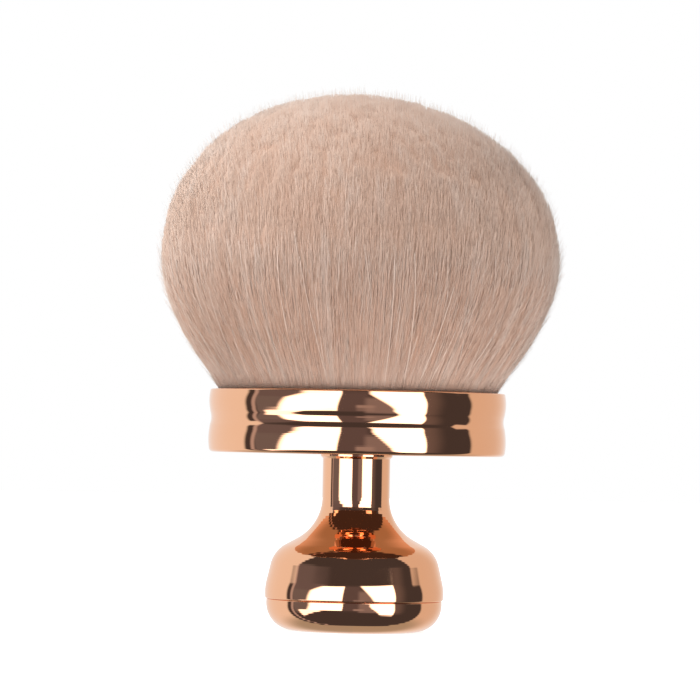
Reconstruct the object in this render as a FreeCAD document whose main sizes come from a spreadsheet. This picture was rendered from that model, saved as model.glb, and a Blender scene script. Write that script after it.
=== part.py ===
import FreeCAD, Part
import math
import os

import Sketcher

# A kabuki makeup brush that stands on its knob. Millimetres, +Z up, origin at the middle of the foot.
# From the foot up: base cap, knob with a steel weight, flared neck, rolled collar, fibre tuft.

SIZES = {
    # Base cap, the dish under the seam of the knob
    "cap_step": 0.3,
    "cap_side": 0.5,
    "seam_height": 5.1,
    "cap_floor": 1.8,
    "cap_edge": 0.2,
    "spigot_height": 3.4,
    "spigot_wall": 1.4,
    "spigot_lead": 0.5,
    # Knob and neck, one hollow moulding
    "knob_radius": 14.55,
    "knob_edge": 0.25,
    "seam_draft": 0.11,
    "side_rise": 1.7,
    "side_share": 0.7,
    "shoulder_draft": 1.41,
    "shoulder_height": 12.86,
    "knee_height": 17.06,
    "neck_radius": 5.45,
    "neck_top": 28.6,
    "lip_step": 0.37,
    "lip_height": 0.35,
    "knob_wall": 2.55,
    "cavity_depth": 4.3,
    "roof_inset": 2.6,
    "roof_drop": 0.56,
    "core_radius": 3.1,
    "core_cover": 4.0,
    "flare_share": 0.52,
    "shoulder_share": 0.25,
    # Weight in the knob
    "weight_clearance": 0.2,
    "weight_edge": 0.4,
    "seat_thickness": 2.5,
    "head_clearance": 0.6,
    # Screw and washer
    "screw_radius": 2.0,
    "screw_clearance": 0.2,
    "screw_tip": 0.4,
    "head_radius": 3.8,
    "head_height": 2.4,
    "head_crown": 1.1,
    "socket_flats": 2.5,
    "socket_depth": 1.3,
    "washer_inset": 0.2,
    "washer_thickness": 0.9,
    "washer_split": 0.6,
    # Collar that holds the tuft
    "ferrule_radius": 24.12,
    "ferrule_height": 10.2,
    "ferrule_wall": 1.0,
    "ferrule_floor": 1.0,
    "ferrule_corner": 0.6,
    "ferrule_rim": 0.25,
    "band_crown": 0.28,
    "band_step": 0.05,
    "band_share": 0.6,
    "groove_height": 5.5,
    "groove_reach": 1.1,
    "groove_depth": 0.34,
    "groove_share": 0.75,
    "groove_edge_share": 0.25,
    "bead_width": 3.4,
    # Cup, insert, resin and binding inside the collar
    "cup_clearance": 0.05,
    "cup_height": 6.8,
    "cup_wall": 1.2,
    "cup_floor": 1.6,
    "boss_radius": 4.8,
    "insert_radius": 3.0,
    "insert_length": 3.6,
    "insert_groove": 0.25,
    "thread_clearance": 0.05,
    "bond_line": 0.05,
    "glue_cover": 0.8,
    "binding_wall": 0.7,
    "binding_height": 1.6,
    "binding_edge_share": 0.4,
    # Fibre tuft
    "root_clearance": 0.3,
    "tuft_radius": 32.5,
    "tuft_height": 48.2,
    "widest_height": 21.5,
    "tuft_rim_clearance": 0.3,
    "fan_corner_share": 0.63,
    "side_corner_share": 0.45,
    "crown_corner_share": 0.36,
    "round_share": 0.97,
    # Length by which a cut runs past the material
    "overrun": 1.0,
}


class Size:
    """A number together with the spreadsheet expression that gives it."""

    def __init__(self, value, text):
        self.value = value
        self.text = text

    @staticmethod
    def of(other):
        return other if isinstance(other, Size) else Size(float(other), repr(other))

    def joined(self, other, value, sign):
        return Size(value, f"({self.text} {sign} {other.text})")

    def __add__(self, other):
        other = Size.of(other)
        return self.joined(other, self.value + other.value, "+")

    def __sub__(self, other):
        other = Size.of(other)
        return self.joined(other, self.value - other.value, "-")

    def __mul__(self, other):
        other = Size.of(other)
        return self.joined(other, self.value * other.value, "*")

    def __truediv__(self, other):
        other = Size.of(other)
        return self.joined(other, self.value / other.value, "/")

    def __neg__(self):
        return Size(-self.value, f"(0 - {self.text})")

    def hypotenuse(self, other):
        length = (self.value**2 + other.value**2) ** 0.5
        return Size(length, f"hypot({self.text}; {other.text})")


class Sizes:
    """The driving dimensions, each a named cell of the document's spreadsheet."""

    def __init__(self, document, table):
        self.sheet = document.addObject("Spreadsheet::Sheet", "Dims")
        for row, (name, number) in enumerate(table.items(), start=1):
            self.sheet.set(f"A{row}", name)
            self.sheet.set(f"B{row}", str(number))
            self.sheet.setAlias(f"B{row}", name)
        document.recompute()

    def __getattr__(self, name):
        return Size(float(self.sheet.get(name)), f"Dims.{name}")


doc = FreeCAD.newDocument("kabuki_brush")
size = Sizes(doc, SIZES)
parts = []

# Levels and radii that more than one piece shares
cap_radius = size.knob_radius - size.cap_step
shoulder_radius = size.knob_radius - size.shoulder_draft
cavity_radius = size.knob_radius - size.knob_wall
cavity_height = size.seam_height + size.cavity_depth
ceiling_radius = cavity_radius - size.roof_inset
ceiling_height = size.shoulder_height - size.roof_drop
spigot_radius = cavity_radius - size.bond_line
spigot_bore = spigot_radius - size.spigot_wall
screw_bore = size.screw_radius + size.screw_clearance
seat_level = ceiling_height - size.seat_thickness
head_top = seat_level - size.washer_thickness
floor_top = size.neck_top + size.ferrule_floor
rim_level = size.neck_top + size.ferrule_height
groove_level = size.neck_top + size.groove_height
ferrule_bore = size.ferrule_radius - size.ferrule_wall
cup_radius = ferrule_bore - size.groove_depth - size.cup_clearance
cup_bore = cup_radius - size.cup_wall
cup_top = floor_top + size.cup_height
insert_top = floor_top + size.insert_length
glue_top = insert_top + size.glue_cover
binding_radius = cup_bore - size.bond_line
root_radius = binding_radius - size.binding_wall - size.root_clearance
tuft_top = rim_level + size.tuft_height


class Corner:
    """A corner of an outline, with the setback of its round and a point of an arc to the next corner."""

    def __init__(self, across, up, setback=None, via=None):
        self.place = (Size.of(across), Size.of(up))
        self.setback = setback
        self.via = via

    def vector(self):
        return FreeCAD.Vector(self.place[0].value, self.place[1].value, 0)


def new_body(label):
    body = doc.addObject("PartDesign::Body", label)
    body.Label = label
    parts.append(body)
    return body


def new_sketch(body, name, role="XZ_Plane"):
    sketch = body.newObject("Sketcher::SketchObject", name)
    plane = next(item for item in body.Origin.OriginFeatures if item.Role == role)
    sketch.AttachmentSupport = [(plane, "")]
    sketch.MapMode = "FlatFace"
    return sketch


def bind(sketch, constraint, length):
    """Adds a constraint whose value the spreadsheet gives."""
    number = sketch.addConstraint(constraint)
    sketch.setExpression(f"Constraints[{number}]", length.text)


def pin(sketch, item, point, place):
    """Holds a point of a sketch at a place; a zero coordinate puts it on that axis."""
    for kind, axis, length in zip(("DistanceX", "DistanceY"), (-2, -1), place):
        if length.value == 0:
            sketch.addConstraint(Sketcher.Constraint("PointOnObject", item, point, axis))
        else:
            bind(sketch, Sketcher.Constraint(kind, item, point, length.value), length)


def add_marker(sketch, place):
    """A construction point at a place, for a rounded corner or a point that an arc runs through."""
    spot = FreeCAD.Vector(place[0].value, place[1].value, 0)
    marker = sketch.addGeometry(Part.Point(spot), True)
    pin(sketch, marker, 1, place)
    return marker


def add_arc(sketch, first, middle, last):
    """An arc through three points; returns it with the numbers of its ends at first and last."""
    through = Part.Circle(first, middle, last)
    turns_left = (middle - first).cross(last - middle).z > 0
    start, end = (first, last) if turns_left else (last, first)
    circle = Part.Circle(through.Center, FreeCAD.Vector(0, 0, 1), through.Radius)
    arc = Part.ArcOfCircle(circle, circle.parameter(start), circle.parameter(end))
    item = sketch.addGeometry(arc, False)
    return (item, 1, 2) if turns_left else (item, 2, 1)


def round_corner(before, corner, after):
    """The first, middle and last point of the round that replaces a corner."""
    into = (corner.vector() - before.vector()).normalize()
    out = (after.vector() - corner.vector()).normalize()
    first = corner.vector() - into * corner.setback.value
    last = corner.vector() + out * corner.setback.value
    half_turn = into.getAngle(out) / 2
    towards = (out - into).normalize()
    radius = corner.setback.value / math.tan(half_turn)
    bisector = (radius**2 + corner.setback.value**2) ** 0.5
    return first, corner.vector() + towards * (bisector - radius), last


def draw_outline(sketch, corners):
    """Draws a closed, fully constrained outline of straight stretches, arcs and rounded corners."""
    count = len(corners)
    rounds = [
        round_corner(corners[i - 1], corner, corners[(i + 1) % count]) if corner.setback else None
        for i, corner in enumerate(corners)
    ]
    stretches = []
    for i, corner in enumerate(corners):
        following = (i + 1) % count
        start = rounds[i][2] if rounds[i] else corner.vector()
        end = rounds[following][0] if rounds[following] else corners[following].vector()
        if corner.via:
            through = FreeCAD.Vector(corner.via[0].value, corner.via[1].value, 0)
            stretch = add_arc(sketch, start, through, end)
            marker = add_marker(sketch, corner.via)
            sketch.addConstraint(Sketcher.Constraint("PointOnObject", marker, 1, stretch[0]))
        else:
            stretch = (sketch.addGeometry(Part.LineSegment(start, end), False), 1, 2)
        stretches.append(stretch)
    for i, corner in enumerate(corners):
        before = stretches[i - 1]
        after = stretches[i]
        if not corner.setback:
            sketch.addConstraint(
                Sketcher.Constraint("Coincident", before[0], before[2], after[0], after[1])
            )
            pin(sketch, after[0], after[1], corner.place)
            continue
        arc, first, last = add_arc(sketch, *rounds[i])
        sketch.addConstraint(Sketcher.Constraint("Tangent", before[0], before[2], arc, first))
        sketch.addConstraint(Sketcher.Constraint("Tangent", arc, last, after[0], after[1]))
        marker = add_marker(sketch, corner.place)
        for stretch in (before, after):
            sketch.addConstraint(Sketcher.Constraint("PointOnObject", marker, 1, stretch[0]))
        setback = corner.setback
        bind(sketch, Sketcher.Constraint("Distance", marker, 1, arc, first, setback.value), setback)


def revolve(body, sketch):
    turned = body.newObject("PartDesign::Revolution", f"{body.Label}_turned")
    turned.Profile = sketch
    turned.ReferenceAxis = (sketch, ["V_Axis"])
    turned.Angle = 360
    sketch.Visibility = False
    doc.recompute()


def turned_body(label, corners):
    """A piece turned about the brush's axis from one outline."""
    body = new_body(label)
    sketch = new_sketch(body, f"{label}_outline")
    draw_outline(sketch, corners)
    revolve(body, sketch)
    return body


def cut_up(body, name, sketch, level, depth):
    """Cuts a sketch's outline upwards from a level into the body above it."""
    before = body.Shape.Volume
    sketch.setExpression("AttachmentOffset.Base.z", level.text)
    doc.recompute()
    cut = body.newObject("PartDesign::Pocket", name)
    cut.Profile = sketch
    cut.Type = "Length"
    cut.Reversed = True
    cut.setExpression("Length", depth.text)
    doc.recompute()
    if not body.Shape.Volume < before:
        raise RuntimeError(f"{name} cut nothing from {body.Label}")


def make_base_cap():
    foot_round = size.seam_height - size.cap_edge - size.cap_side
    lead = size.spigot_lead
    spigot_top = size.seam_height + size.spigot_height
    turned_body(
        "base_cap",
        [
            Corner(0, 0),
            Corner(cap_radius, 0, setback=foot_round),
            Corner(cap_radius, size.seam_height, setback=size.cap_edge),
            Corner(spigot_radius, size.seam_height),
            Corner(spigot_radius, spigot_top - lead),
            Corner(spigot_radius - lead, spigot_top),
            Corner(spigot_bore, spigot_top),
            Corner(spigot_bore, size.cap_floor, setback=size.spigot_wall),
            Corner(0, size.cap_floor),
        ],
    )


def make_handle_shell():
    # The knob is widest a little above its seam. The neck's flare and the knob's shoulder are arcs
    # that run into one slanting line.
    slant = (shoulder_radius - size.neck_radius).hypotenuse(size.knee_height - size.shoulder_height)
    side_height = size.seam_height + size.side_rise
    lip_radius = size.neck_radius + size.lip_step
    lip_base = size.neck_top - size.lip_height
    core_top = size.neck_top - size.core_cover
    turned_body(
        "handle_shell",
        [
            Corner(cavity_radius, size.seam_height),
            Corner(size.knob_radius - size.seam_draft, size.seam_height, setback=size.knob_edge),
            Corner(size.knob_radius, side_height, setback=size.side_rise * size.side_share),
            Corner(shoulder_radius, size.shoulder_height, setback=slant * size.shoulder_share),
            Corner(size.neck_radius, size.knee_height, setback=slant * size.flare_share),
            Corner(size.neck_radius, lip_base - size.lip_step),
            Corner(lip_radius, lip_base),
            Corner(lip_radius, size.neck_top),
            Corner(screw_bore, size.neck_top),
            Corner(screw_bore, core_top),
            Corner(size.core_radius, core_top),
            Corner(size.core_radius, ceiling_height),
            Corner(ceiling_radius, ceiling_height),
            Corner(cavity_radius, cavity_height),
        ],
    )


def make_base_weight():
    # The top is bevelled at the slope of the cavity's roof, which it is pressed against.
    radius = spigot_bore - size.weight_clearance
    bottom = size.cap_floor + size.weight_clearance
    roof = ceiling_radius - size.weight_clearance
    slope = (ceiling_height - cavity_height) / size.roof_inset
    bevel = (radius - roof) * slope
    counterbore = size.head_radius + size.head_clearance
    turned_body(
        "base_weight",
        [
            Corner(counterbore, bottom),
            Corner(radius - size.spigot_wall, bottom),
            Corner(radius, bottom + size.spigot_wall, setback=size.weight_edge),
            Corner(radius, ceiling_height - bevel),
            Corner(roof, ceiling_height),
            Corner(screw_bore, ceiling_height),
            Corner(screw_bore, seat_level),
            Corner(counterbore, seat_level),
        ],
    )


def make_draw_screw():
    head_base = head_top - size.head_height
    tip = insert_top - size.thread_clearance
    body = turned_body(
        "draw_screw",
        [
            Corner(0, head_base),
            Corner(size.head_radius, head_base, setback=size.head_crown),
            Corner(size.head_radius, head_top),
            Corner(size.screw_radius, head_top),
            Corner(size.screw_radius, tip - size.screw_tip),
            Corner(size.screw_radius - size.screw_tip, tip),
            Corner(0, tip),
        ],
    )
    socket = new_sketch(body, "socket_outline", "XY_Plane")
    half = size.socket_flats / 2
    point = size.socket_flats / 3**0.5
    ring = [(point, 0), (point / 2, half), (-point / 2, half)]
    ring += [(-point, 0), (-point / 2, -half), (point / 2, -half)]
    draw_outline(socket, [Corner(*place) for place in ring])
    cut_up(body, "socket", socket, head_base, size.socket_depth)


def make_lock_washer():
    radius = size.head_radius - size.washer_inset
    body = turned_body(
        "lock_washer",
        [
            Corner(screw_bore, head_top),
            Corner(radius, head_top),
            Corner(radius, seat_level),
            Corner(screw_bore, seat_level),
        ],
    )
    split = new_sketch(body, "split_outline", "XY_Plane")
    half = size.washer_split / 2
    end = radius + size.overrun
    ring = [(0, -half), (end, -half), (end, half), (0, half)]
    draw_outline(split, [Corner(*place) for place in ring])
    cut_up(body, "split", split, head_top, size.washer_thickness)


def make_ferrule_shell():
    # Each band is crowned: its round runs out to the widest radius and falls back to the band's edges. The
    # collar is drawn from sheet, so the rolled groove between the bands stands as a bead on its inner wall.
    bead = size.bead_width / 2
    rim = size.ferrule_rim
    lower_crown = size.ferrule_radius + size.band_crown * size.band_share / 2
    lower_edge = lower_crown - size.band_crown
    upper_crown = lower_crown - size.band_step
    upper_edge = lower_edge - size.band_step
    groove_base = groove_level - size.groove_reach
    groove_top = groove_level + size.groove_reach
    lower_half = (groove_base - size.neck_top) / 2
    upper_half = (rim_level - groove_top) / 2
    groove_edge = size.groove_reach * size.groove_edge_share
    groove_round = size.groove_reach * size.groove_share
    turned_body(
        "ferrule_shell",
        [
            Corner(screw_bore, size.neck_top),
            Corner(lower_edge, size.neck_top, setback=size.ferrule_corner),
            Corner(lower_crown, groove_base - lower_half, setback=lower_half * size.band_share),
            Corner(lower_edge, groove_base, setback=groove_edge),
            Corner(lower_edge - size.groove_depth, groove_level, setback=groove_round),
            Corner(upper_edge, groove_top, setback=groove_edge),
            Corner(upper_crown, groove_top + upper_half, setback=upper_half * size.band_share),
            Corner(upper_edge, rim_level, setback=rim),
            Corner(ferrule_bore, rim_level, setback=rim),
            Corner(ferrule_bore, groove_level + bead,
                   via=(ferrule_bore - size.groove_depth, groove_level)),
            Corner(ferrule_bore, groove_level - bead),
            Corner(ferrule_bore, floor_top),
            Corner(screw_bore, floor_top),
        ],
    )


def make_tuft_cup():
    inner_floor = floor_top + size.cup_floor
    turned_body(
        "tuft_cup",
        [
            Corner(size.insert_radius, floor_top),
            Corner(cup_radius, floor_top, setback=size.ferrule_corner),
            Corner(cup_radius, cup_top),
            Corner(cup_bore, cup_top),
            Corner(cup_bore, inner_floor),
            Corner(size.boss_radius, inner_floor),
            Corner(size.boss_radius, insert_top),
            Corner(size.insert_radius, insert_top),
        ],
    )


def make_insert_nut():
    bore = size.screw_radius + size.thread_clearance
    radius = size.insert_radius - size.bond_line
    waist = radius - size.insert_groove
    third = size.insert_length / 3
    turned_body(
        "insert_nut",
        [
            Corner(bore, floor_top),
            Corner(radius, floor_top),
            Corner(radius, floor_top + third),
            Corner(waist, floor_top + third),
            Corner(waist, insert_top - third),
            Corner(radius, insert_top - third),
            Corner(radius, insert_top),
            Corner(bore, insert_top),
        ],
    )


def make_glue_bed():
    inner_floor = floor_top + size.cup_floor
    inner = size.boss_radius + size.bond_line
    outer = cup_bore - size.bond_line
    turned_body(
        "glue_bed",
        [
            Corner(0, insert_top),
            Corner(inner, insert_top),
            Corner(inner, inner_floor),
            Corner(outer, inner_floor),
            Corner(outer, glue_top),
            Corner(0, glue_top),
        ],
    )


def make_root_binding():
    bottom = glue_top
    top = bottom + size.binding_height
    inner = binding_radius - size.binding_wall
    edge = size.binding_wall * size.binding_edge_share
    turned_body(
        "root_binding",
        [
            Corner(inner, bottom),
            Corner(binding_radius, bottom),
            Corner(binding_radius, top, setback=edge),
            Corner(inner, top, setback=edge),
        ],
    )


def make_bristle_tuft():
    # The fibres stand straight in the cup and fan out over the rim to the widest place. A side round and a
    # flatter crown round close the dome. Each round takes up nearly all of the stretch that it cuts back.
    radius = size.tuft_radius
    mouth = ferrule_bore - size.tuft_rim_clearance
    widest = rim_level + size.widest_height
    fan = size.widest_height * size.fan_corner_share
    side = (tuft_top - widest) * size.side_corner_share
    crown = radius * size.crown_corner_share
    turned_body(
        "bristle_tuft",
        [
            Corner(0, glue_top),
            Corner(root_radius, glue_top),
            Corner(root_radius, cup_top),
            Corner(mouth, rim_level),
            Corner(radius, rim_level + fan, setback=(size.widest_height - fan) * size.round_share),
            Corner(radius, widest + side, setback=side * size.round_share),
            Corner(crown, tuft_top, setback=crown * size.round_share),
            Corner(0, tuft_top),
        ],
    )


make_base_cap()
make_handle_shell()
make_base_weight()
make_draw_screw()
make_lock_washer()
make_ferrule_shell()
make_tuft_cup()
make_insert_nut()
make_glue_bed()
make_root_binding()
make_bristle_tuft()

doc.recompute()
for item in doc.Objects:
    if {"Invalid", "Error"} & set(item.State):
        raise RuntimeError(f"{item.Label} failed: {item.State}")
for body in parts:
    if body.Shape.isNull() or not body.Shape.isValid():
        raise RuntimeError(f"{body.Label} has no valid shape")

os.makedirs("parts", exist_ok=True)
for body in parts:
    body.Shape.exportStep(f"parts/{body.Label}.step")
    print(f"{body.Label}: {body.Shape.Volume:.1f} mm3, solids {len(body.Shape.Solids)}")
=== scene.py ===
import bpy
import math
from mathutils import Matrix, Vector


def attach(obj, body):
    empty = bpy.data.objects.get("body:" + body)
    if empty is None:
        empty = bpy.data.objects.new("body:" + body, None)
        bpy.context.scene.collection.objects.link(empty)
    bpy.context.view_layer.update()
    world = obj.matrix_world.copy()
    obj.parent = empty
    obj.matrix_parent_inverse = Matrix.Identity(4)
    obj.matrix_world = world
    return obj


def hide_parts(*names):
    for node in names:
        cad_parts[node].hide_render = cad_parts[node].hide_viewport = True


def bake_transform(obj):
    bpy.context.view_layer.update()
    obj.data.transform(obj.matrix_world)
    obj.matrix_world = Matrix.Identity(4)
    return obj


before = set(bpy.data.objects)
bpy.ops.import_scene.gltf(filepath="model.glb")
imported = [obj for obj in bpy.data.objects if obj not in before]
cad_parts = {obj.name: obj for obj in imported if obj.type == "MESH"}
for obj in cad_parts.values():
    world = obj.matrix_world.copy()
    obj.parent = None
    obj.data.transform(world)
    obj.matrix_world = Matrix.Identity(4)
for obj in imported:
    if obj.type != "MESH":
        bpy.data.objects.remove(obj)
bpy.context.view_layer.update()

scene = bpy.context.scene
scene.view_settings.view_transform = "Standard"
mm = 0.001
print("frame loaded:", ", ".join(sorted(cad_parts)))


# Nodes: a socket that Python's operators work on, and a board that adds nodes to one tree

class Wire:
    def __init__(self, board, socket):
        self.board = board
        self.socket = socket

    def math(self, operation, *others):
        return self.board.sum(operation, self, *others)

    def __add__(self, other):
        return self.math("ADD", other)

    def __radd__(self, other):
        return self.board.sum("ADD", other, self)

    def __sub__(self, other):
        return self.math("SUBTRACT", other)

    def __rsub__(self, other):
        return self.board.sum("SUBTRACT", other, self)

    def __mul__(self, other):
        return self.math("MULTIPLY", other)

    def __rmul__(self, other):
        return self.board.sum("MULTIPLY", other, self)

    def __truediv__(self, other):
        return self.math("DIVIDE", other)

    def __rtruediv__(self, other):
        return self.board.sum("DIVIDE", other, self)

    def __pow__(self, other):
        return self.math("POWER", other)


class Board:
    def __init__(self, tree):
        self.tree = tree

    def sum(self, operation, *values):
        return self.add("ShaderNodeMath", {"operation": operation}, dict(enumerate(values)))

    # A node's type, its settings, which are set first, and the values or links of its sockets
    def add(self, kind, settings=None, sockets=None, out=0):
        node = self.tree.nodes.new(kind)
        for name, value in (settings or {}).items():
            if name == "stops":
                self.fillRamp(node.color_ramp, value)
            elif name == "points":
                self.fillCurve(node.mapping, value)
            else:
                setattr(node, name, value)
        for key, value in (sockets or {}).items():
            inlet = node.inputs[key] if isinstance(key, int) else self.named(node.inputs, key)
            if isinstance(value, Wire):
                self.tree.links.new(value.socket, inlet)
            else:
                inlet.default_value = value
        if out is None:
            return node
        return Wire(self, node.outputs[out] if isinstance(out, int) else self.named(node.outputs, out))

    def named(self, sockets, name):
        return next(s for s in sockets if s.name == name and s.enabled)

    def fillRamp(self, ramp, stops):
        while len(ramp.elements) < len(stops):
            ramp.elements.new(0.5)
        for element, (place, colour) in zip(ramp.elements, stops):
            element.position = place
            element.color = (*colour, 1)

    def fillCurve(self, mapping, points):
        curve = mapping.curves[0]
        while len(curve.points) < len(points):
            curve.points.new(0.5, 0.5)
        for point, place in zip(curve.points, points):
            point.location = place
        mapping.update()


def newMaterial(name):
    material = bpy.data.materials.new(name)
    material.use_nodes = True
    material.node_tree.nodes.clear()
    return material, Board(material.node_tree)


def finishMaterial(board, sockets):
    shader = board.add("ShaderNodeBsdfPrincipled", None, sockets)
    board.add("ShaderNodeOutputMaterial", None, {"Surface": shader}, None)


# Camera, from the photograph's level and framing

view = {
    "distance": 665 * mm,
    "eyeHeight": 31.05 * mm,
    "sideways": -1.42 * mm,
    "pitch": 1.243,
    "roll": 1.1,
    "lens": 210.9,
    "sensor": 36,
    "clipStart": 0.01,
}

camera = bpy.data.objects.new("camera", bpy.data.cameras.new("camera"))
scene.collection.objects.link(camera)
camera.data.sensor_width = view["sensor"]
camera.data.lens = view["lens"]
camera.data.clip_start = view["clipStart"]
camera.location = (view["sideways"], -view["distance"], view["eyeHeight"])
aim = Matrix.Rotation(math.radians(90 + view["pitch"]), 4, "X")
tilt = Matrix.Rotation(math.radians(view["roll"]), 4, "Z")
camera.rotation_euler = (aim @ tilt).to_euler()
scene.camera = camera


# Studio: the room that the metal mirrors, a key light for the fibre and a white ground behind the brush.
# Directions are in degrees, 0 towards the camera, positive to the right and up. Each edge of a panel is
# its place, its slope along the other direction and its softness.

studio = {
    "panels": [
        {"name": "left dusk", "left": (-86, 0, 2), "right": (-58, 0, 6), "below": (-24, 0, 6),
         "above": (22, 0, 8), "glow": (0.18, 0.18, 0.21)},
        {"name": "middle dusk", "left": (-16, 0, 2), "right": (9, 0, 4), "below": (-20, 0, 4),
         "above": (20, 0, 3), "glow": (0.125, 0.11, 0.13)},
        {"name": "right dusk", "left": (50, 0, 2), "right": (66, 0, 9), "below": (-26, 0, 6),
         "above": (22, 0, 3), "glow": (0.16, 0.14, 0.15)},
        {"name": "left box, low", "left": (-79, 0, 3), "right": (-7, 2, 4), "above": (-15, 0, 2),
         "below": (-38, 0, 4), "glow": (2.6, 2.5, 2.5)},
        {"name": "left box", "left": (-60, 0.3, 4), "right": (-14.5, 0.1, 1.2), "above": (20, 0.05, 1.2),
         "below": (-18, 0, 1.5), "glow": (3.3, 3.3, 3.3)},
        {"name": "cut corner of the left box", "left": (-86, 0, 2), "right": (-69, 1.5, 5),
         "below": (8, 0, 2), "above": (22, 0, 3), "glow": (0.16, 0.15, 0.18)},
        {"name": "brown panel", "left": (6, 0, 3), "right": (27, -0.2, 2), "above": (9, 0, 5),
         "below": (-24, 0, 4), "glow": (0.26, 0.24, 0.27)},
        {"name": "pale strip", "left": (-1, 0, 2), "right": (13, 0, 3), "above": (-10, 0, 2),
         "below": (-17, 0, 3), "glow": (0.36, 0.33, 0.36)},
        {"name": "right box", "left": (20, -0.55, 2.5), "right": (54.5, -0.08, 1.2), "above": (20.5, 0, 1.2),
         "below": (-32, 0, 5), "glow": (3.3, 3.3, 3.3)},
        {"name": "left edge of the ground", "left": (-90, 0.1, 1.5), "right": (-86, 0.1, 1.5),
         "glow": (0.5, 0.46, 0.5)},
        {"name": "left ground, low", "right": (-97, 0.1, 2.5), "glow": (0.44, 0.45, 0.40)},
        {"name": "right ground, low", "left": (99, -0.1, 2.5), "glow": (0.45, 0.45, 0.39)},
        {"name": "left ground", "right": (-97, 0.1, 2.5), "below": (-38, 0, 14), "glow": (0.93, 0.93, 0.93)},
        {"name": "right ground", "left": (99, -0.1, 2.5), "below": (-38, 0, 14), "glow": (0.78, 0.70, 0.63)},
        {"name": "left ground, high", "right": (-92, 0.3, 2), "below": (16, 0, 3),
         "glow": (0.93, 0.93, 0.93)},
        {"name": "right ground, high", "left": (86, -0.1, 2), "below": (16, 0, 3),
         "glow": (0.78, 0.70, 0.63)},
        {"name": "ground behind", "left": (150, 0, 22), "below": (-38, 0, 14), "glow": (0.93, 0.93, 0.93)},
    ],
    "openEdge": 999,
    "key": {"azimuth": -68, "elevation": 38, "distance": 1.1, "aimHeight": 0.06, "size": 1.1, "glow": 2.0},
    "roomGlow": (0.066, 0.062, 0.07),
    "fill": (0.69, 0.69, 0.69),
    "fillAbove": (0.74, 0.74, 0.74),
    "ground": (1.15, 1.15, 1.15),
    "groundFrom": -0.2,
    "groundTo": 0.15,
    "floorSize": 3.0,
    "floorGlow": 0.8,
    "floorColour": (0.85, 0.85, 0.85, 1),
}


def keyLight():
    key = studio["key"]
    lamp = bpy.data.lights.new("key", "AREA")
    lamp.size = key["size"]
    lamp.energy = 4 * key["size"] ** 2 * key["glow"]
    holder = bpy.data.objects.new("key", lamp)
    scene.collection.objects.link(holder)
    azimuth = math.radians(key["azimuth"])
    elevation = math.radians(key["elevation"])
    level = math.cos(elevation)
    way = Vector((level * math.sin(azimuth), -level * math.cos(azimuth), math.sin(elevation)))
    holder.location = Vector((0, 0, key["aimHeight"])) + way * key["distance"]
    holder.rotation_euler = (-way).to_track_quat("-Z", "Y").to_euler()
    holder.visible_camera = False
    holder.visible_glossy = False


def mixed(board, factor, first, second):
    colours = [c if isinstance(c, Wire) else (*c, 1) for c in (first, second)]
    sockets = {"Factor": factor, "A": colours[0], "B": colours[1]}
    return board.add("ShaderNodeMix", {"data_type": "RGBA"}, sockets, "Result")


def smoothStep(board, value, low, high):
    sockets = {"Value": value, "From Min": low, "From Max": high}
    return board.add("ShaderNodeMapRange", {"interpolation_type": "SMOOTHSTEP"}, sockets)


def mirroredRoom(board, x, y, z):
    turn = x.math("ARCTAN2", 0 - y) * math.degrees(1)
    lift = z.math("ARCSINE") * math.degrees(1)

    def past(value, edge, other):
        place, slope, soft = edge
        return smoothStep(board, value - other * slope, place - soft, place + soft)

    # an edge that a panel does not name lies beyond every direction
    low = (-studio["openEdge"], 0, 1)
    high = (studio["openEdge"], 0, 1)
    colour = studio["roomGlow"]
    for panel in studio["panels"]:
        cover = past(turn, panel.get("left", low), lift)
        cover = cover * (1 - past(turn, panel.get("right", high), lift))
        cover = cover * past(lift, panel.get("below", low), turn)
        cover = cover * (1 - past(lift, panel.get("above", high), turn))
        colour = mixed(board, cover, colour, panel["glow"])
    return colour


def makeWorld():
    world = bpy.data.worlds.new("studio")
    scene.world = world
    world.use_nodes = True
    world.node_tree.nodes.clear()
    board = Board(world.node_tree)
    way = board.add("ShaderNodeTexCoord", None, None, "Generated")
    apart = board.add("ShaderNodeSeparateXYZ", None, {"Vector": way}, None)
    x, y, z = (Wire(board, apart.outputs[axis]) for axis in "XYZ")
    path = board.add("ShaderNodeLightPath", None, None, None)
    fill = mixed(board, smoothStep(board, z, 0.0, 1.0), studio["fill"], studio["fillAbove"])
    behind = smoothStep(board, y, studio["groundFrom"], studio["groundTo"])
    fill = mixed(board, behind, fill, studio["ground"])
    colour = mixed(board, Wire(board, path.outputs["Is Glossy Ray"]), fill, mirroredRoom(board, x, y, z))
    colour = mixed(board, Wire(board, path.outputs["Is Camera Ray"]), colour, (1, 1, 1))
    glow = board.add("ShaderNodeBackground", None, {"Color": colour, "Strength": 1.0})
    board.add("ShaderNodeOutputWorld", None, {"Surface": glow}, None)


def makeFloor():
    half = studio["floorSize"] / 2
    mesh = bpy.data.meshes.new("floor")
    corners = [(-half, -half, 0), (half, -half, 0), (half, half, 0), (-half, half, 0)]
    mesh.from_pydata(corners, [], [(0, 1, 2, 3)])
    floor = bpy.data.objects.new("floor", mesh)
    scene.collection.objects.link(floor)
    material, board = newMaterial("pale floor")
    seen = board.add("ShaderNodeLightPath", None, None, "Is Camera Ray")
    plain = board.add("ShaderNodeBsdfDiffuse", None, {"Color": studio["floorColour"]})
    strength = seen * studio["floorGlow"]
    white = board.add("ShaderNodeEmission", None, {"Color": (1, 1, 1, 1), "Strength": strength})
    both = board.add("ShaderNodeAddShader", None, {0: plain, 1: white})
    board.add("ShaderNodeOutputMaterial", None, {"Surface": both}, None)
    mesh.materials.append(material)
    floor.visible_glossy = False


keyLight()
makeWorld()
makeFloor()
print("camera and studio set")


# Turned metal pieces: outlines in millimetres, each corner (radius, height, setback of its round)

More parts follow.
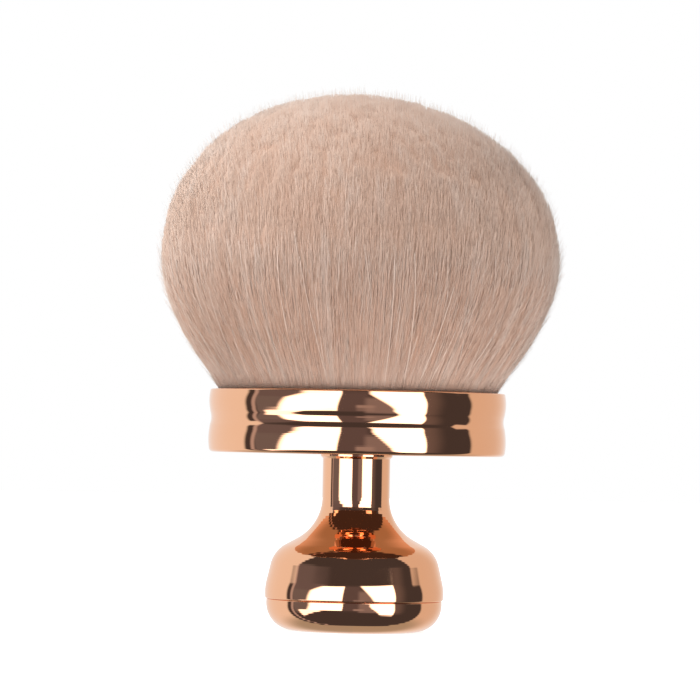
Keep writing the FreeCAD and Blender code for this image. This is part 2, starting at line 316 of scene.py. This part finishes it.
turning = {"steps": 208, "arcStep": 4.0, "fewest": 8, "edge": 0.05, "longEdges": 6, "sharp": 32}


def roundOff(before, corner, after):
    place = Vector(corner[:2])
    into = (place - Vector(before[:2])).normalized()
    out = (Vector(after[:2]) - place).normalized()
    turn = into.angle(out)
    radius = corner[2] / math.tan(turn / 2)
    side = 1 if into.x * out.y - into.y * out.x > 0 else -1
    centre = place - into * corner[2] + Vector((-into.y, into.x)) * radius * side
    start = place - into * corner[2] - centre
    count = max(turning["fewest"], math.ceil(math.degrees(turn) / turning["arcStep"]))
    return [
        centre + Matrix.Rotation(side * turn * i / count, 2) @ start
        for i in range(count + 1)
    ]


def bulge(first, via, last, count):
    # points of the arc through three places, without its ends
    a, b, c = Vector(first), Vector(via), Vector(last)
    d = 2 * (a.x * (b.y - c.y) + b.x * (c.y - a.y) + c.x * (a.y - b.y))
    aa, bb, cc = a.length_squared, b.length_squared, c.length_squared
    centre = Vector((
        (aa * (b.y - c.y) + bb * (c.y - a.y) + cc * (a.y - b.y)) / d,
        (aa * (c.x - b.x) + bb * (a.x - c.x) + cc * (b.x - a.x)) / d,
    ))
    whole = (a - centre).angle_signed(c - centre)
    return [centre + Matrix.Rotation(-whole * i / count, 2) @ (a - centre) for i in range(1, count)]


def roundedOutline(corners):
    points = []
    count = len(corners)
    for i, corner in enumerate(corners):
        if len(corner) > 2 and corner[2]:
            points += roundOff(corners[i - 1], corner, corners[(i + 1) % count])
        else:
            points.append(Vector(corner[:2]))
    return points


def supported(points):
    # a long straight stretch gets a point close to each end, so that its shading stays flat
    full = []
    for i, point in enumerate(points):
        following = points[(i + 1) % len(points)]
        full.append(point)
        gap = following - point
        if gap.length > turning["longEdges"] * turning["edge"]:
            full.append(point + gap.normalized() * turning["edge"])
            full.append(following - gap.normalized() * turning["edge"])
    return full


def turned(name, points, material):
    # a closed outline of (radius, height), counter-clockwise, spun about the brush's axis
    points = supported(points)
    steps = turning["steps"]
    verts = []
    rings = []
    for point in points:
        if point.x < 1e-6:
            rings.append([len(verts)] * steps)
            verts.append((0, 0, point.y * mm))
            continue
        rings.append(list(range(len(verts), len(verts) + steps)))
        for k in range(steps):
            angle = 2 * math.pi * k / steps
            verts.append((point.x * mm * math.cos(angle), point.x * mm * math.sin(angle), point.y * mm))
    faces = []
    for i, ring in enumerate(rings):
        after = rings[(i + 1) % len(rings)]
        if ring[0] == ring[1] and after[0] == after[1]:
            continue
        for k in range(steps):
            n = (k + 1) % steps
            face = (ring[k], ring[n], after[n], after[k])
            faces.append(tuple(dict.fromkeys(face)))
    mesh = bpy.data.meshes.new(name)
    mesh.from_pydata(verts, [], faces)
    mesh.validate()
    mesh.polygons.foreach_set("use_smooth", [True] * len(mesh.polygons))
    mesh.set_sharp_from_angle(angle=math.radians(turning["sharp"]))
    mesh.materials.append(material)
    piece = bpy.data.objects.new(name, mesh)
    scene.collection.objects.link(piece)
    return piece


# Rose-gold plating, mirror bright, with the faint waviness of a plated surface

plating = {
    "colour": (0.91, 0.495, 0.295),
    "paler": (0.93, 0.525, 0.325),
    "smooth": 0.03,
    "dull": 0.06,
    "cloudScale": 90.0, "fineScale": 1400.0, "peelScale": 260.0,
    "peelDepth": 0.0002, "collarPeel": 0.03, "mouldingPeel": 0.05,
}


def plated(name, waviness):
    material, board = newMaterial(name)
    place = board.add("ShaderNodeTexCoord", None, None, "Object")

    def noise(scale, detail):
        sockets = {"Vector": place, "Scale": scale, "Detail": detail}
        return board.add("ShaderNodeTexNoise", None, sockets)

    cloud = noise(plating["cloudScale"], 3.0)
    fine = noise(plating["fineScale"], 2.0)
    peel = noise(plating["peelScale"], 1.0)
    colour = mixed(board, cloud, plating["colour"], plating["paler"])
    rough = plating["smooth"] + (plating["dull"] - plating["smooth"]) * cloud * fine
    sockets = {"Strength": waviness, "Distance": plating["peelDepth"], "Height": peel}
    bump = board.add("ShaderNodeBump", None, sockets)
    finishMaterial(board, {"Base Color": colour, "Metallic": 1.0, "Roughness": rough, "Normal": bump})
    return material


collarSizes = {
    "radius": 24.12, "base": 28.6, "rim": 38.8, "wall": 1.0, "floor": 1.0, "bore": 2.2,
    "corner": 0.6, "lip": 0.25, "bandCrown": 0.28, "bandStep": 0.05, "bandShare": 0.6,
    "grooveLevel": 34.1, "grooveReach": 1.1, "grooveDepth": 0.34, "grooveShare": 0.75,
    "grooveEdgeShare": 0.25, "beadHalf": 1.7, "beadSteps": 16,
}


def makeCollar(material):
    # two crowned bands with a rolled groove between them, which stands as a bead inside
    s = collarSizes
    inner = s["radius"] - s["wall"]
    level = s["grooveLevel"]
    crown = s["radius"] + s["bandCrown"] * s["bandShare"] / 2
    edge = crown - s["bandCrown"]
    step = s["bandStep"]
    low = level - s["grooveReach"]
    high = level + s["grooveReach"]
    lowHalf = (low - s["base"]) / 2
    highHalf = (s["rim"] - high) / 2
    grooveEdge = s["grooveReach"] * s["grooveEdgeShare"]
    outline = roundedOutline([
        (s["bore"], s["base"]),
        (edge, s["base"], s["corner"]),
        (crown, low - lowHalf, lowHalf * s["bandShare"]),
        (edge, low, grooveEdge),
        (edge - s["grooveDepth"], level, s["grooveReach"] * s["grooveShare"]),
        (edge - step, high, grooveEdge),
        (crown - step, high + highHalf, highHalf * s["bandShare"]),
        (edge - step, s["rim"], s["lip"]),
        (inner, s["rim"], s["lip"]),
        (inner, level + s["beadHalf"]),
    ])
    beadEnd = Vector((inner, level - s["beadHalf"]))
    outline += bulge(outline[-1], (inner - s["grooveDepth"], level), beadEnd, s["beadSteps"])
    outline += [beadEnd, Vector((inner, s["base"] + s["floor"])), Vector((s["bore"], s["base"] + s["floor"]))]
    piece = turned("collar", outline, material)
    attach(piece, "handle")
    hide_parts("ferrule_shell")


knobSizes = {
    "seam": 5.1, "cavity": 12.0, "cavityTop": 9.4, "seamRadius": 14.44, "edge": 0.25,
    "side": (14.55, 6.8), "sideRound": 1.19, "shoulder": (13.14, 12.86), "shoulderRound": 2.19,
    "knee": (5.45, 17.06), "flareRound": 4.556, "lipRadius": 5.82, "lipHeight": 0.35, "top": 28.6,
    "bore": 2.2, "coreTop": 24.6, "core": 3.1, "ceiling": (9.4, 12.3),
}


def makeKnob(material):
    s = knobSizes
    neck = s["knee"][0]
    lipBase = s["top"] - s["lipHeight"]
    outline = roundedOutline([
        (s["cavity"], s["seam"]),
        (s["seamRadius"], s["seam"], s["edge"]),
        (*s["side"], s["sideRound"]),
        (*s["shoulder"], s["shoulderRound"]),
        (*s["knee"], s["flareRound"]),
        (neck, lipBase - (s["lipRadius"] - neck)),
        (s["lipRadius"], lipBase),
        (s["lipRadius"], s["top"]),
        (s["bore"], s["top"]),
        (s["bore"], s["coreTop"]),
        (s["core"], s["coreTop"]),
        (s["core"], s["ceiling"][1]),
        s["ceiling"],
        (s["cavity"], s["cavityTop"]),
    ])
    piece = turned("knobAndNeck", outline, material)
    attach(piece, "handle")
    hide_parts("handle_shell")


capSizes = {
    "radius": 14.25, "foot": 4.4, "seam": 5.1, "edge": 0.2, "spigot": 11.95, "spigotTop": 8.5,
    "lead": 0.5, "bore": 10.55, "floor": 1.8, "insideRound": 1.4,
}


def makeCap(material):
    s = capSizes
    outline = roundedOutline([
        (0, 0),
        (s["radius"], 0, s["foot"]),
        (s["radius"], s["seam"], s["edge"]),
        (s["spigot"], s["seam"]),
        (s["spigot"], s["spigotTop"] - s["lead"]),
        (s["spigot"] - s["lead"], s["spigotTop"]),
        (s["bore"], s["spigotTop"]),
        (s["bore"], s["floor"], s["insideRound"]),
        (0, s["floor"]),
    ])
    piece = turned("baseCap", outline, material)
    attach(piece, "handle")
    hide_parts("base_cap")


makeCollar(plated("rose gold, drawn collar", plating["collarPeel"]))
mouldedGold = plated("rose gold, plated moulding", plating["mouldingPeel"])
makeKnob(mouldedGold)
makeCap(mouldedGold)
print("metal turned")


# Fibre tuft: strands follow one flow from the collar's mouth, and their tips end on a dome

tuft = {
    "rim": 38.8, "widest": 60.3, "top": 86.9, "radius": 32.35, "domePower": 2.05,
    "foot": 36.0, "lean": -1.5, "bendReach": 24,
    "flow": [
        (36.0, 21.0), (38.8, 22.5), (41.3, 24.2), (43.9, 26.1), (46.5, 27.9), (49.1, 29.3), (51.6, 30.5),
        (54.2, 31.5), (56.8, 32.2), (60.3, 32.6), (68.0, 33.3), (78.0, 34.0), (90.0, 34.6),
    ],
    "flowTop": 90.0, "flowScale": 40.0,
    "strandSide": 0.046, "taper": 0.6, "sideRange": (0.75, 1.2), "lengthRange": (0.8, 1.2),
    "goldenAngle": 2.39996323, "shareJitter": 0.004, "angleJitter": 0.02,
    "looseTips": 0.9, "clump": 1.0, "drop": 15.0, "twist": 0.02,
    "swirlScale": 0.32, "ownPull": 0.15,
    "seedFrom": 40, "seedStep": 20,
    "dropFrom": 0.93, "dropPower": 1.2,
    "tipFade": 8.0,
    "fleckScale": 15.0, "fleckStretch": 0.12, "pitBelow": 0.47, "pitDepth": 6.0,
    "cloudScale": 0.16, "lockScale": 24.0,
    # the fleck tone is painted shade: it darkens the strands in the pits among the tips
    "cloudTone": 0.5, "pitShadeTone": 0.6, "lockTone": 0.5, "ownTone": 0.05, "palest": 0.999,
    "tones": 48, "cellMargin": 0.15, "cellStep": 0.35, "mapMargin": 0.01,
    "rootReach": 10.0, "rootPaler": 0.36,
    "shared": 0.82, "facingUp": 1.2, "facingDown": 0.7,
}


def flowAt(height):
    points = tuft["flow"]
    for (lowZ, lowR), (highZ, highR) in zip(points, points[1:]):
        if height <= highZ:
            part = max(0, (height - lowZ) / (highZ - lowZ))
            return lowR + (highR - lowR) * part
    return points[-1][1]


def makeStrandTree():
    tree = bpy.data.node_groups.new("strands", "GeometryNodeTree")
    face = tree.interface
    for name, kind in (
        ("Strands", "NodeSocketInt"), ("Points", "NodeSocketInt"), ("Seed", "NodeSocketInt"),
        ("Inner share", "NodeSocketFloat"), ("Outer share", "NodeSocketFloat"),
        ("Shown length", "NodeSocketFloat"), ("Thickness", "NodeSocketFloat"),
        ("Loose tips", "NodeSocketFloat"), ("Clumping", "NodeSocketFloat"),
        ("Side drop", "NodeSocketFloat"), ("Twist", "NodeSocketFloat"), ("Paler", "NodeSocketFloat"),
        ("Stand proud", "NodeSocketFloat"), ("Material", "NodeSocketMaterial"),
    ):
        face.new_socket(name=name, in_out="INPUT", socket_type=kind)
    face.new_socket(name="Geometry", in_out="OUTPUT", socket_type="NodeSocketGeometry")
    board = Board(tree)
    given = board.add("NodeGroupInput", None, None, None)

    def ask(name):
        return Wire(board, given.outputs[name])

    def stored(geometry, name, value, kind="FLOAT", domain="POINT"):
        settings = {"data_type": kind, "domain": domain}
        sockets = {"Geometry": geometry, "Name": name, "Value": value}
        return board.add("GeometryNodeStoreNamedAttribute", settings, sockets)

    def attribute(name, kind="FLOAT"):
        return board.add("GeometryNodeInputNamedAttribute", {"data_type": kind}, {"Name": name}, "Attribute")

    def chance(low, high, shift):
        sockets = {"Min": low, "Max": high, "ID": attribute("strand"), "Seed": ask("Seed") + shift}
        return board.add("FunctionNodeRandomValue", {"data_type": "FLOAT"}, sockets, "Value")

    def vector(x, y, z):
        return board.add("ShaderNodeCombineXYZ", None, {0: x, 1: y, 2: z})

    def joined(operation, first, second):
        return board.add("ShaderNodeVectorMath", {"operation": operation}, {0: first, 1: second})

    def flow(height):
        share = height / tuft["flowTop"]
        points = [(z / tuft["flowTop"], r / tuft["flowScale"]) for z, r in tuft["flow"]]
        points = [(0, points[0][1])] + points
        return board.add("ShaderNodeFloatCurve", {"points": points}, {"Value": share}) * tuft["flowScale"]

    # one straight line for each strand
    spots = board.add("GeometryNodePoints", None, {"Count": ask("Strands")})
    spots = stored(spots, "strand", board.add("GeometryNodeInputIndex"), "INT")
    line = board.add("GeometryNodeCurvePrimitiveLine", None, {"Start": (0, 0, 0), "End": (0, 0, 1)})
    line = board.add("GeometryNodeResampleCurve", None, {"Curve": line, "Count": ask("Points")})
    lines = board.add("GeometryNodeInstanceOnPoints", None, {"Points": spots, "Instance": line})
    lines = board.add("GeometryNodeRealizeInstances", None, {"Geometry": lines})

    # where each tip ends on the dome, evenly over the tuft's width
    strand = attribute("strand")
    part = (strand + 0.5) / ask("Strands")
    share = ask("Inner share") + (ask("Outer share") - ask("Inner share")) * part
    near = share + chance(-tuft["shareJitter"], tuft["shareJitter"], 1)
    across = near.math("MAXIMUM", 0.0).math("MINIMUM", 1.0) ** 0.5
    angle = strand * tuft["goldenAngle"] + chance(-tuft["angleJitter"], tuft["angleJitter"], 2)
    rise = (1 - across ** tuft["domePower"]) ** (1 / tuft["domePower"])
    mouth = vector(across * angle.math("COSINE"), across * angle.math("SINE"), rise * tuft["fleckStretch"])
    sockets = {"Vector": mouth, "Scale": tuft["fleckScale"], "Detail": 1.0}
    fleck = board.add("ShaderNodeTexNoise", None, sockets)
    pit = (tuft["pitBelow"] - fleck).math("MAXIMUM", 0.0) * tuft["pitDepth"]
    sunk = chance(0.0, 1.0, 3) ** 2.0 * ask("Loose tips") + pit
    outer = ((share - tuft["dropFrom"]) / (1 - tuft["dropFrom"])).math("MAXIMUM", 0.0)
    dropped = chance(0.0, 1.0, 4) ** tuft["dropPower"] * outer * ask("Side drop")
    tipHeight = tuft["widest"] + rise * (tuft["top"] - tuft["widest"]) - sunk - dropped
    tipRadius = across * tuft["radius"]

    # the strand's own course: a fixed share of the flow at every height
    along = board.add("GeometryNodeSplineParameter", None, None, "Factor")
    shown = ask("Shown length") * chance(*tuft["lengthRange"], 5)
    lowest = (tipHeight - shown).math("MAXIMUM", tuft["foot"])
    height = lowest + (tipHeight - lowest) * along
    reached = tipHeight.math("MAXIMUM", tuft["widest"])
    radius = tipRadius * flow(height) / flow(reached)
    lifted = ((height - tuft["widest"]) / (tuft["top"] - tuft["widest"])).math("MAXIMUM", 0.0)
    turn = angle + ask("Twist") * chance(-1.0, 1.0, 10) * (1 - along)
    x = radius * turn.math("COSINE")
    y = radius * turn.math("SINE")
    proud = ask("Stand proud") * chance(0.0, 1.0, 11) * along * along
    out = 1 + proud / tuft["radius"]
    course = vector(x * out + lifted * lifted * tuft["lean"], y * out, height + proud * lifted)

    # neighbours lean together in small tufts, more towards their tips
    tipPlace = vector(tipRadius * angle.math("COSINE"), tipRadius * angle.math("SINE"), tipHeight)
    sockets = {"Vector": tipPlace, "Scale": tuft["swirlScale"], "Detail": 2.0}
    swirl = board.add("ShaderNodeTexNoise", None, sockets, "Color")
    pull = joined("SUBTRACT", swirl, (0.5, 0.5, 0.5))
    most = tuft["ownPull"]
    own = vector(chance(-most, most, 6), chance(-most, most, 7), 0.0)
    pull = joined("ADD", pull, own)
    amount = ask("Clumping") * along * along
    scaled = board.add("ShaderNodeVectorMath", {"operation": "SCALE"}, {"Vector": pull, "Scale": amount})
    course = joined("ADD", course, scaled)
    lines = board.add("GeometryNodeSetPosition", None, {"Geometry": lines, "Position": course})

    # tone: a cloudy part that neighbours share, a fleck part that is painted shade, darker where the tips
    # sink into pits and paler between them, a part of its own, and paler towards the root
    sockets = {"Vector": tipPlace, "Scale": tuft["cloudScale"], "Detail": 2.0}
    cloud = board.add("ShaderNodeTexNoise", None, sockets)
    around = vector(angle.math("COSINE"), angle.math("SINE"), 0.0)
    sockets = {"Vector": around, "Scale": tuft["lockScale"], "Detail": 1.0}
    lock = board.add("ShaderNodeTexNoise", None, sockets)
    # the fleck part is painted shade, darker in the same pits that the tips sink into
    shared = (cloud - 0.5) * tuft["cloudTone"] + (fleck - 0.5) * tuft["pitShadeTone"]
    shared = shared + (lock - 0.5) * tuft["lockTone"]
    nearRoot = (1 - (height - tuft["rim"]) / tuft["rootReach"]).math("MAXIMUM", 0.0)
    own = chance(-tuft["ownTone"], tuft["ownTone"], 8)
    # the pale-tone input adds the strays' own pale tone, and on the fuzz and flank strands painted rim light
    tone = 0.5 + shared + ask("Paler") + own + nearRoot ** 2.0 * tuft["rootPaler"]
    tone = tone.math("MAXIMUM", 0.0).math("MINIMUM", tuft["palest"])
    lines = stored(lines, "tone", tone)
    toTip = (1 - (tipHeight - height) / tuft["tipFade"]).math("MAXIMUM", 0.0)
    lines = stored(lines, "toTip", toTip)

    # the way that the tuft's surface faces there
    below = ((tuft["widest"] - height) / (tuft["widest"] - tuft["rim"])).math("MAXIMUM", 0.0)
    up = lifted * tuft["facingUp"] - below * tuft["facingDown"]
    facing = vector(x / tuft["radius"], y / tuft["radius"], up)
    lines = stored(lines, "facing", joined("NORMALIZE", facing, (0, 0, 0)), "FLOAT_VECTOR")

    # three-sided strands that thin towards their tips
    ring = board.add("GeometryNodeCurvePrimitiveCircle", None, {"Resolution": 3, "Radius": 1.0})
    ring = stored(ring, "side", board.add("GeometryNodeInputIndex"))
    thin = (1 - tuft["taper"] * along ** 3.0) * ask("Thickness") * chance(*tuft["sideRange"], 9)
    mesh = board.add(
        "GeometryNodeCurveToMesh", None,
        {"Curve": lines, "Profile Curve": ring, "Scale": thin, "Fill Caps": True},
    )
    cell = (attribute("tone") * tuft["tones"]).math("FLOOR") / tuft["tones"]
    column = cell + (tuft["cellMargin"] + tuft["cellStep"] * attribute("side")) / tuft["tones"]
    margin = tuft["mapMargin"]
    layout = vector(column, margin + (1 - 2 * margin) * attribute("toTip"), 0.0)
    for name in ("strandMap", "OFBake"):
        mesh = stored(mesh, name, layout, "FLOAT2", "CORNER")
    mesh = board.add("GeometryNodeTransform", None, {"Geometry": mesh, "Scale": (mm, mm, mm)})
    mesh = board.add("GeometryNodeSetShadeSmooth", None, {"Geometry": mesh})
    mesh = board.add("GeometryNodeRealizeInstances", None, {"Geometry": mesh})
    own = board.add("ShaderNodeVectorMath", {"operation": "SCALE"}, {
        "Vector": board.add("GeometryNodeInputNormal", None, None, "Normal"), "Scale": 1 - tuft["shared"],
    })
    whole = board.add("ShaderNodeVectorMath", {"operation": "SCALE"}, {
        "Vector": attribute("facing", "FLOAT_VECTOR"), "Scale": tuft["shared"],
    })
    facing = joined("NORMALIZE", joined("ADD", own, whole), (0, 0, 0))
    settings = {"mode": "FREE", "domain": "POINT"}
    mesh = board.add("GeometryNodeSetMeshNormal", settings, {"Mesh": mesh, "Custom Normal": facing})
    mesh = board.add("GeometryNodeSetMaterial", None, {"Geometry": mesh, "Material": ask("Material")})
    board.add("NodeGroupOutput", None, {"Geometry": mesh}, None)
    return tree


def grown(name, tree, values):
    piece = bpy.data.objects.new(name, bpy.data.meshes.new(name))
    scene.collection.objects.link(piece)
    modifier = piece.modifiers.new("grow", "NODES")
    modifier.node_group = tree
    for item in tree.interface.items_tree:
        if item.item_type == "SOCKET" and item.in_out == "INPUT":
            modifier[item.identifier] = values[item.name]
    bpy.context.view_layer.update()
    shaped = piece.evaluated_get(bpy.context.evaluated_depsgraph_get())
    mesh = bpy.data.meshes.new_from_object(shaped)
    piece.modifiers.remove(modifier)
    piece.data = mesh
    mesh.name = name
    for extra in ("tone", "toTip", "side", "strand", "facing"):
        if extra in mesh.attributes:
            mesh.attributes.remove(mesh.attributes[extra])
    print(name, "triangles:", sum(len(p.vertices) - 2 for p in mesh.polygons))
    return piece


fibre = {
    "dark": (0.60, 0.35, 0.245),
    "middle": (0.73, 0.445, 0.325),
    "pale": (0.87, 0.65, 0.535),
    # tip colours: paler than the strands, painted light standing in for light that scatters through the fibre
    # ends
    "darkLitTip": (0.71, 0.45, 0.335),
    "tip": (0.88, 0.635, 0.505),
    "paleLitTip": (0.94, 0.78, 0.685),
    # core colours: darker than the strands, painted shade standing in for the shadow deep among the fibres
    "coreDarkShaded": (0.56, 0.35, 0.255),
    "coreMiddleShaded": (0.66, 0.43, 0.325),
    "roughness": 0.55, "specular": 0.2,
    "sheen": 0.45, "sheenRoughness": 0.3, "sheenTint": (1.0, 0.95, 0.9, 1),
}


def fibreMaterial():
    material, board = newMaterial("beige fibre")
    place = board.add("ShaderNodeUVMap", {"uv_map": "strandMap"})
    apart = board.add("ShaderNodeSeparateXYZ", None, {"Vector": place}, None)
    tone = Wire(board, apart.outputs["X"])
    toTip = Wire(board, apart.outputs["Y"])
    stops = [(0.0, fibre["dark"]), (0.5, fibre["middle"]), (1.0, fibre["pale"])]
    colour = board.add("ShaderNodeValToRGB", {"stops": stops}, {"Fac": tone})
    litTipStops = [(0.0, fibre["darkLitTip"]), (0.5, fibre["tip"]), (1.0, fibre["paleLitTip"])]
    litTipColour = board.add("ShaderNodeValToRGB", {"stops": litTipStops}, {"Fac": tone})
    # paler towards the tips: painted light standing in for light scattering through the fibre ends
    tipLitColour = mixed(board, toTip ** 2.0, colour, litTipColour)
    finishMaterial(board, {
        "Base Color": tipLitColour, "Roughness": fibre["roughness"], "Specular IOR Level": fibre["specular"],
        "Sheen Weight": fibre["sheen"], "Sheen Roughness": fibre["sheenRoughness"],
        "Sheen Tint": fibre["sheenTint"],
    })
    return material


packed = {"stretch": 6.0, "scale": 40.0, "bump": 0.4, "depth": 0.0003, "roughness": 0.8, "specular": 0.1}


def coreMaterial():
    material, board = newMaterial("packed fibre with painted shade")
    place = board.add("ShaderNodeTexCoord", None, None, "Object")
    apart = board.add("ShaderNodeSeparateXYZ", None, {"Vector": place}, None)
    x = Wire(board, apart.outputs["X"])
    y = Wire(board, apart.outputs["Y"])
    z = Wire(board, apart.outputs["Z"])
    turn = y.math("ARCTAN2", x)
    sockets = {0: turn.math("COSINE"), 1: turn.math("SINE"), 2: z * packed["stretch"]}
    spread = board.add("ShaderNodeCombineXYZ", None, sockets)
    sockets = {"Vector": spread, "Scale": packed["scale"], "Detail": 4.0}
    streak = board.add("ShaderNodeTexNoise", None, sockets)
    # the core's colours are its fibre tone darkened as painted shade for the shadow among the fibres
    stops = [(0.3, fibre["coreDarkShaded"]), (0.7, fibre["coreMiddleShaded"])]
    colour = board.add("ShaderNodeValToRGB", {"stops": stops}, {"Fac": streak})
    sockets = {"Strength": packed["bump"], "Distance": packed["depth"], "Height": streak}
    bump = board.add("ShaderNodeBump", None, sockets)
    finishMaterial(board, {
        "Base Color": colour, "Roughness": packed["roughness"],
        "Specular IOR Level": packed["specular"], "Normal": bump,
    })
    return material


coreSizes = {"inset": 1.0, "crownInset": 1.4, "foot": 36.0, "steps": 24}


def makeCore(material):
    s = coreSizes
    points = [Vector((0, s["foot"]))]
    for i in range(s["steps"] + 1):
        height = s["foot"] + (tuft["widest"] - s["foot"]) * i / s["steps"]
        points.append(Vector((flowAt(height) - s["inset"], height)))
    across = flowAt(tuft["widest"]) - s["inset"]
    rise = tuft["top"] - s["crownInset"] - tuft["widest"]
    power = 2 / tuft["domePower"]
    for i in range(1, s["steps"] + 1):
        angle = math.pi / 2 * i / s["steps"]
        out = max(0, math.cos(angle)) ** power
        points.append(Vector((across * out, tuft["widest"] + rise * math.sin(angle) ** power)))
    points[-1].x = 0
    core = turned("tuftCore", points, material)
    for vert in core.data.vertices:
        lifted = max(0, (vert.co.z / mm - tuft["widest"]) / (tuft["top"] - tuft["widest"]))
        vert.co.x += lifted * lifted * tuft["lean"] * mm
    return core


strandSets = [
    {"name": "fibresCrown", "count": 16500, "from": 0.0, "to": 0.2, "points": 2, "shown": 4.0},
    {"name": "fibresUpper", "count": 17000, "from": 0.2, "to": 0.4, "points": 2, "shown": 4.5},
    {"name": "fibresMiddle", "count": 16000, "from": 0.4, "to": 0.58, "points": 2, "shown": 6.0},
    {"name": "fibresLower", "count": 16000, "from": 0.58, "to": 0.75, "points": 2, "shown": 7.0},
    {"name": "fibresSide", "count": 14000, "from": 0.75, "to": 0.88, "points": 3, "shown": 10.0},
    {"name": "fibresRound", "count": 9800, "from": 0.88, "to": 0.95, "points": 4, "shown": 16.0},
    {"name": "fibresRim", "count": 14000, "from": 0.93, "to": 1.0, "points": 3, "shown": 9.0},
    {"name": "fibresInner", "count": 4400, "from": 0.94, "to": 0.975, "points": 5, "shown": 34.0,
     "clump": 0.8},
    {"name": "fibresOuter", "count": 6400, "from": 0.96, "to": 0.99, "points": 5, "shown": 34.0,
     "clump": 0.7},
    {"name": "fibresEdge", "count": 7000, "from": 0.975, "to": 1.0, "points": 5, "shown": 34.0, "clump": 0.6,
     "drop": 20.0},
    {"name": "fibresStray", "count": 90, "from": 0.985, "to": 1.0, "points": 9, "shown": 34.0,
     "clump": 1.0, "twist": 0.12, "paler": 0.45, "thick": 0.1},
    # the fuzz and flank strands' paler tone is painted rim light, a pale veil standing in for light shining
    # through the fine ends
    {"name": "fibresFuzz", "count": 12000, "from": 0.0, "to": 1.0, "points": 2, "shown": 2.5, "clump": 0.8,
     "paler": 0.4, "thick": 0.018, "proud": 1.5},
    {"name": "fibresFlank", "count": 6000, "from": 0.975, "to": 1.0, "points": 2, "shown": 3.0, "clump": 0.6,
     "paler": 0.4, "thick": 0.018, "proud": 1.2, "drop": 24.0},
]


def makeTuft():
    tree = makeStrandTree()
    material = fibreMaterial()
    core = makeCore(coreMaterial())
    pieces = [core]
    for seed, strands in enumerate(strandSets):
        pieces.append(grown(strands["name"], tree, {
            "Strands": strands["count"], "Points": strands["points"],
            "Seed": tuft["seedFrom"] + tuft["seedStep"] * seed,
            "Inner share": strands["from"], "Outer share": strands["to"],
            "Shown length": strands["shown"], "Thickness": strands.get("thick", tuft["strandSide"]),
            "Loose tips": tuft["looseTips"], "Clumping": strands.get("clump", tuft["clump"]),
            "Side drop": strands.get("drop", tuft["drop"]), "Twist": strands.get("twist", tuft["twist"]),
            "Paler": strands.get("paler", 0.0),
            "Stand proud": strands.get("proud", 0.0), "Material": material,
        }))
    for piece in pieces:
        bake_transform(piece)
        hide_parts("bristle_tuft")


makeTuft()
print("tuft grown")


# Hidden pieces keep their CAD shapes and get their own finishes

hidden = {
    "base_weight": {"colour": (0.33, 0.33, 0.34), "metal": 1.0, "rough": 0.42, "grain": 500.0},
    "draw_screw": {"colour": (0.45, 0.45, 0.46), "metal": 1.0, "rough": 0.3, "grain": 900.0},
    "lock_washer": {"colour": (0.5, 0.5, 0.5), "metal": 1.0, "rough": 0.35, "grain": 900.0},
    "insert_nut": {"colour": (0.72, 0.52, 0.22), "metal": 1.0, "rough": 0.32, "grain": 900.0},
    "tuft_cup": {"colour": (0.72, 0.7, 0.66), "metal": 0.0, "rough": 0.5, "grain": 700.0},
    "glue_bed": {"colour": (0.5, 0.36, 0.16), "metal": 0.0, "rough": 0.22, "grain": 300.0},
    "root_binding": {"colour": (0.75, 0.68, 0.58), "metal": 0.0, "rough": 0.85, "grain": 1200.0},
}


hiddenGrain = {"darker": 0.8, "roughLow": 0.8, "roughSpan": 0.4, "bump": 0.15, "depth": 0.0001}


def hiddenFinish(name, look):
    material, board = newMaterial(name.replace("_", " ") + " finish")
    place = board.add("ShaderNodeTexCoord", None, None, "Object")
    grain = board.add("ShaderNodeTexNoise", None, {"Vector": place, "Scale": look["grain"], "Detail": 3.0})
    darker = tuple(hiddenGrain["darker"] * c for c in look["colour"])
    colour = mixed(board, grain, darker, look["colour"])
    rough = look["rough"] * hiddenGrain["roughLow"] + look["rough"] * hiddenGrain["roughSpan"] * grain
    sockets = {"Strength": hiddenGrain["bump"], "Distance": hiddenGrain["depth"], "Height": grain}
    bump = board.add("ShaderNodeBump", None, sockets)
    sockets = {"Base Color": colour, "Metallic": look["metal"], "Roughness": rough, "Normal": bump}
    finishMaterial(board, sockets)
    return material


for name, look in hidden.items():
    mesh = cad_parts[name].data
    mesh.materials.clear()
    mesh.materials.append(hiddenFinish(name, look))
print("hidden pieces finished")
